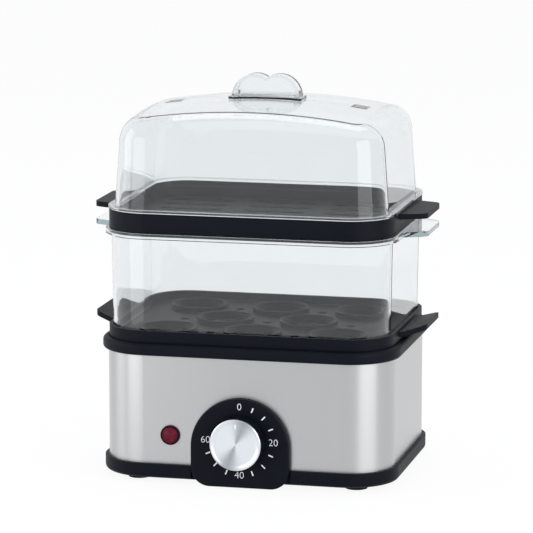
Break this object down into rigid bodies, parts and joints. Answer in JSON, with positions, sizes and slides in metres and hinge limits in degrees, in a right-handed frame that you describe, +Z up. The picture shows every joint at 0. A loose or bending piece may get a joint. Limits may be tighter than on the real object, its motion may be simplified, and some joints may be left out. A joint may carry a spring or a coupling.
{
  "type": "egg cooker",
  "caption": "Two-tier electric egg cooker: steel housing with dial timer, egg tray, clear shell, slotted steam tray and clear domed lid.",
  "frame": {"origin": "on the table under the middle of the steel housing", "axes": "+X to the right of the dial, +Y to the back, +Z up"},
  "size_m": [0.215, 0.173, 0.2512],
  "materials": {
    "black_plastic": "satin moulded",
    "brushed_steel": "fine vertical brushing",
    "clear_plastic": "clear moulded plastic",
    "spun_aluminium": "spun face with a turned rim",
    "red_lens": "translucent red",
    "foot_rubber": "matt",
    "dish_steel": "pressed",
    "silicone": "matt",
    "heater_sheath": "oxidised sheath",
    "zinc_steel": "zinc plated",
    "nylon": "moulded",
    "spring_steel": "blued strip",
    "brass": "stamped",
    "fuse_can": "printed can",
    "bulb_glass": "neon bulb",
    "wire_sleeve": "silicone sleeve"
  },
  "bodies": {
    "base": {"bottom_pan": "black_plastic", "clip_nuts": "zinc_steel", "cord_gland": "nylon", "dial_panel": "black_plastic", "dish_gasket": "silicone", "foot_front_left": "foot_rubber", "foot_front_right": "foot_rubber", "foot_rear_left": "foot_rubber", "foot_rear_right": "foot_rubber", "gland_nut": "nylon", "heater_clip": "zinc_steel", "heater_element": "heater_sheath", "heating_dish": "dish_steel", "lamp_bulb": "bulb_glass", "lamp_lens": "red_lens", "lamp_ring": "nylon", "pan_screws": "zinc_steel", "steel_band": "brushed_steel", "terminal_block": "nylon", "thermal_fuse": "fuse_can", "thermostat": "zinc_steel", "timer_back": "nylon", "timer_bell": "zinc_steel", "timer_case": "nylon", "timer_contacts": "brass", "timer_screws": "zinc_steel", "timer_spring": "spring_steel", "top_frame": "black_plastic", "wire_fuse": "wire_sleeve", "wire_heater": "wire_sleeve", "wire_lamp": "wire_sleeve", "wire_neutral": "wire_sleeve", "wire_thermostat": "wire_sleeve", "wire_timer": "wire_sleeve"},
    "knob": {"knob_body": "black_plastic", "knob_cap": "spun_aluminium", "timer_shaft": "zinc_steel", "timer_cam": "nylon", "timer_gear": "nylon"},
    "pinion": {"timer_pinion": "nylon"},
    "lid": {"lid": "clear_plastic", "lid_handle": "clear_plastic"},
    "egg_tray": {"egg_tray": "black_plastic"},
    "middle_shell": {"middle_shell": "clear_plastic"},
    "steam_tray": {"steam_tray": "black_plastic"}
  },
  "joints": [
    {"name": "timer_turn", "type": "hinge", "parent": "base", "child": "knob", "pos_m": [0, -0.08, 0.0306], "axis": [0, 1, 0], "range_deg": [0, 270]},
    {"name": "pinion_turn", "type": "hinge", "parent": "base", "child": "pinion", "pos_m": [0, -0.06, 0.04275], "axis": [0, 1, 0], "range_deg": [-1080, 270]},
    {"name": "egg_tray_lift", "type": "slide", "parent": "base", "child": "egg_tray", "axis": [0, 0, 1], "range_m": [0, 0.1]},
    {"name": "middle_shell_lift", "type": "slide", "parent": "egg_tray", "child": "middle_shell", "axis": [0, 0, 1], "range_m": [0, 0.1]},
    {"name": "steam_tray_lift", "type": "slide", "parent": "middle_shell", "child": "steam_tray", "axis": [0, 0, 1], "range_m": [0, 0.1]},
    {"name": "lid_lift", "type": "slide", "parent": "steam_tray", "child": "lid", "axis": [0, 0, 1], "range_m": [0, 0.1]}
  ],
  "couplings": [
    {"joint": "pinion_turn", "follows": "timer_turn", "ratio": -3}
  ]
}
